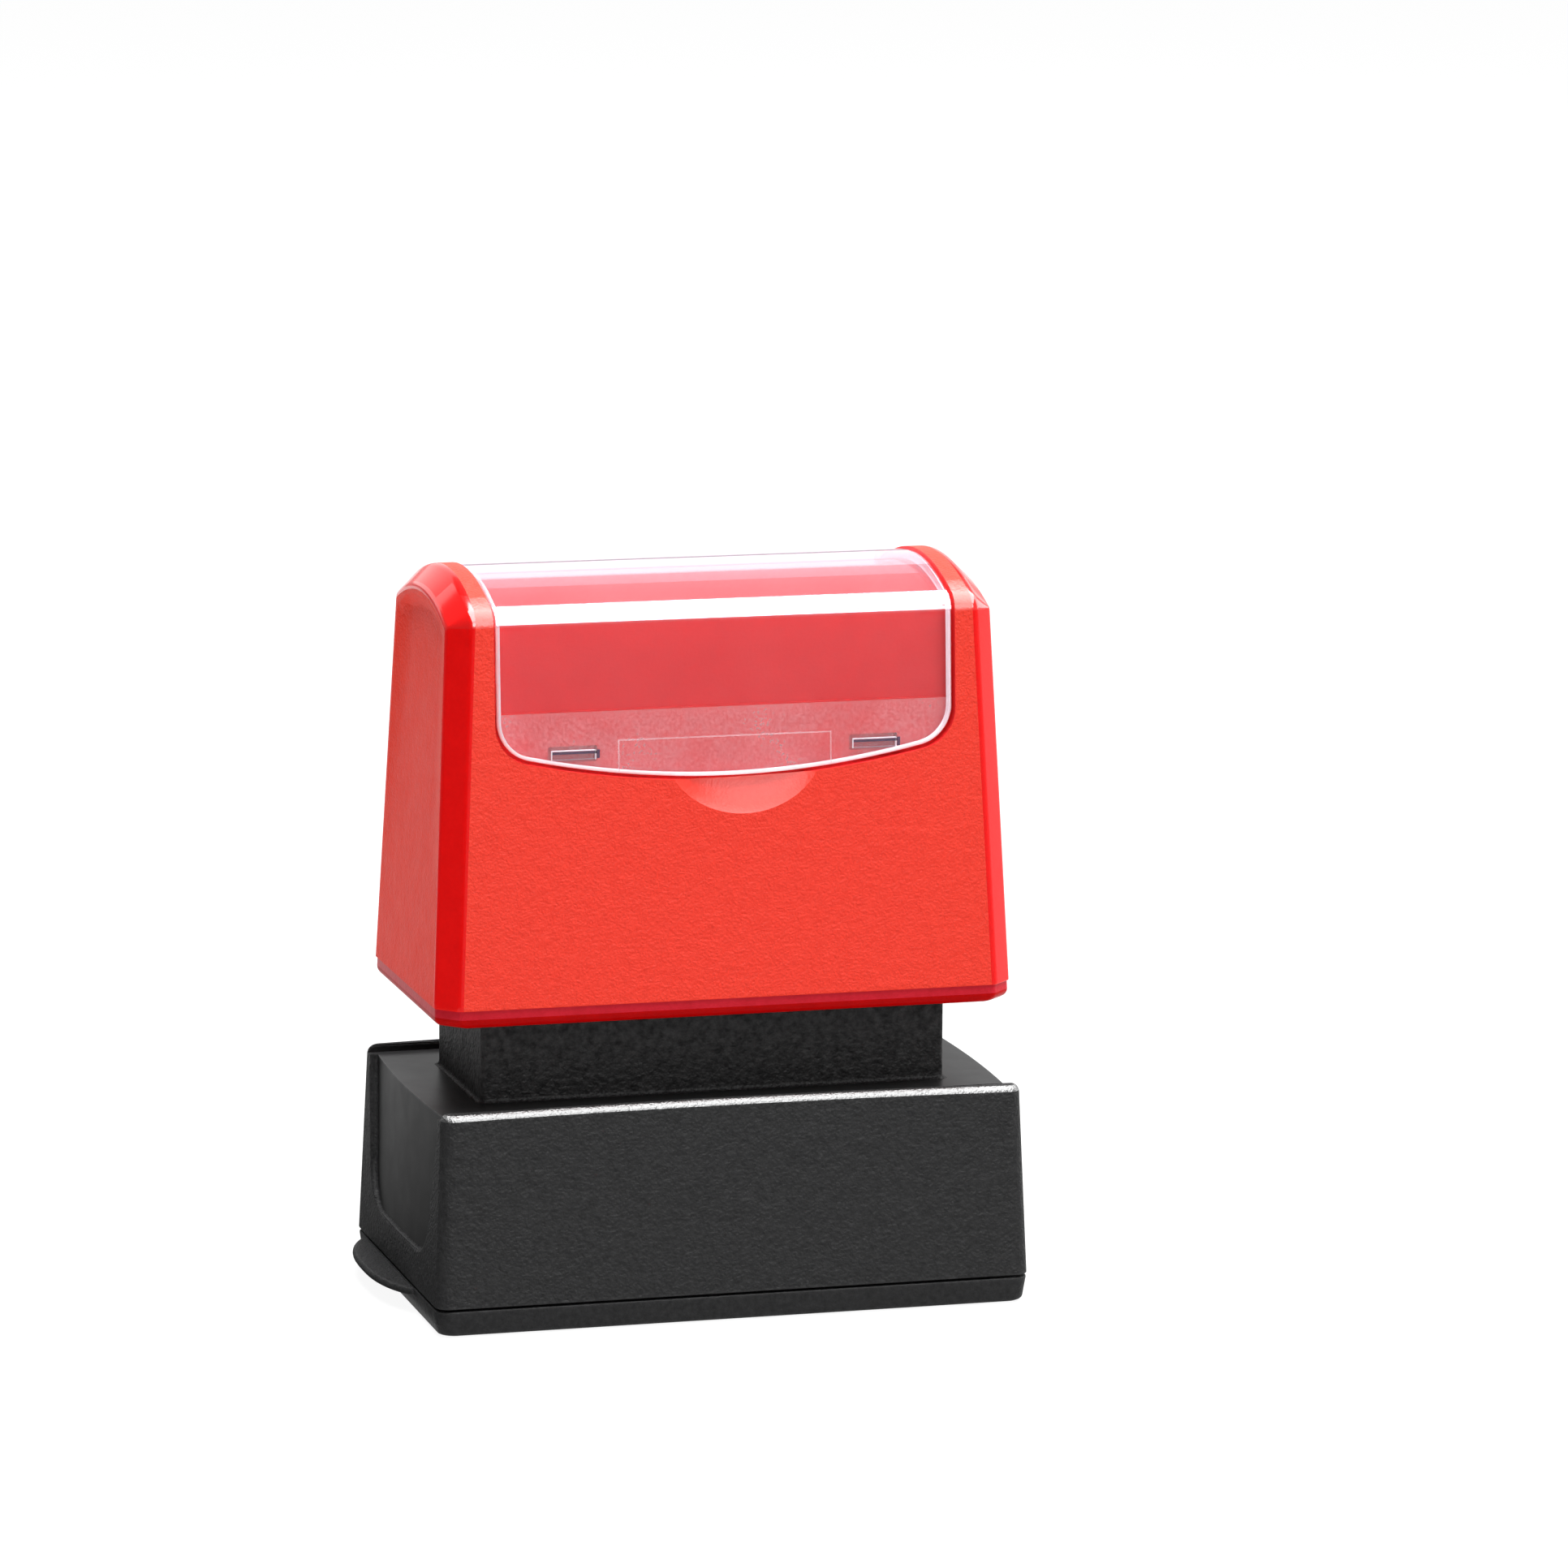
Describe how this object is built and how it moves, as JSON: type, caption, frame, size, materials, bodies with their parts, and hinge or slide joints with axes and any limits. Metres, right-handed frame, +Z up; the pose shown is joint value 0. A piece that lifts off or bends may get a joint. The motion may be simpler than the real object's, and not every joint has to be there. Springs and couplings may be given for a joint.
{
  "type": "pre-inked hand stamp",
  "caption": "Pre-inked hand stamp: tapered grip with a clear label cover over a spring-returned die carrier, guided by a skirt that stands in a clip-on dust cap.",
  "frame": {"origin": "centre of the dust cap's flat underside, on the centre lines of the skirt (the pull tab at -X isn't counted)", "axes": "+Z up through the grip; +X along the stamp, with the cap's pull tab at -X; -Y is the front, +Y the back"},
  "size_m": [0.0658, 0.0384, 0.0764],
  "materials": {
    "cap_plastic": "satin",
    "liner_foam": "matte closed-cell foam",
    "skirt_plastic": "fine-textured walls, glossy deck",
    "pin_steel": "smooth",
    "spring_steel": "drawn wire",
    "grip_plastic": "fine satin faces, glossy corner facets",
    "carrier_plastic": "satin",
    "screw_steel": "zinc plated",
    "washer_steel": "zinc plated",
    "plate_plastic": "natural",
    "ink_foam": "ink-soaked foam",
    "die_rubber": "microporous",
    "frame_plastic": "satin",
    "clear_plastic": "clear polished acrylic-type plastic"
  },
  "bodies": {
    "cap": {"base_cap": "cap_plastic", "cap_liner": "liner_foam"},
    "skirt": {"skirt_body": "skirt_plastic", "guide_pin_left": "pin_steel", "guide_pin_right": "pin_steel", "return_spring_left": "spring_steel", "return_spring_right": "spring_steel"},
    "handle": {"grip_housing": "grip_plastic", "die_carrier": "carrier_plastic", "carrier_screw_left": "screw_steel", "carrier_screw_right": "screw_steel", "screw_washer_left": "washer_steel", "screw_washer_right": "washer_steel", "spring_washer_left": "washer_steel", "spring_washer_right": "washer_steel", "pressure_plate": "plate_plastic", "ink_pad": "ink_foam", "stamp_die": "die_rubber", "die_frame": "frame_plastic"},
    "cover": {"label_cover": "clear_plastic"}
  },
  "joints": [
    {"name": "skirt_lift_off_cap", "type": "slide", "parent": "cap", "child": "skirt", "axis": [0, 0, 1], "range_m": [0, 0.03]},
    {"name": "handle_press", "type": "slide", "parent": "skirt", "child": "handle", "axis": [0, 0, -1], "range_m": [0, 0.0062], "stiffness_N_per_m": 900, "springref_m": -0.004, "deforming": ["return_spring_left", "return_spring_right"]},
    {"name": "cover_lift_off", "type": "slide", "parent": "handle", "child": "cover", "axis": [0, 0, 1], "range_m": [0, 0.03]}
  ]
}
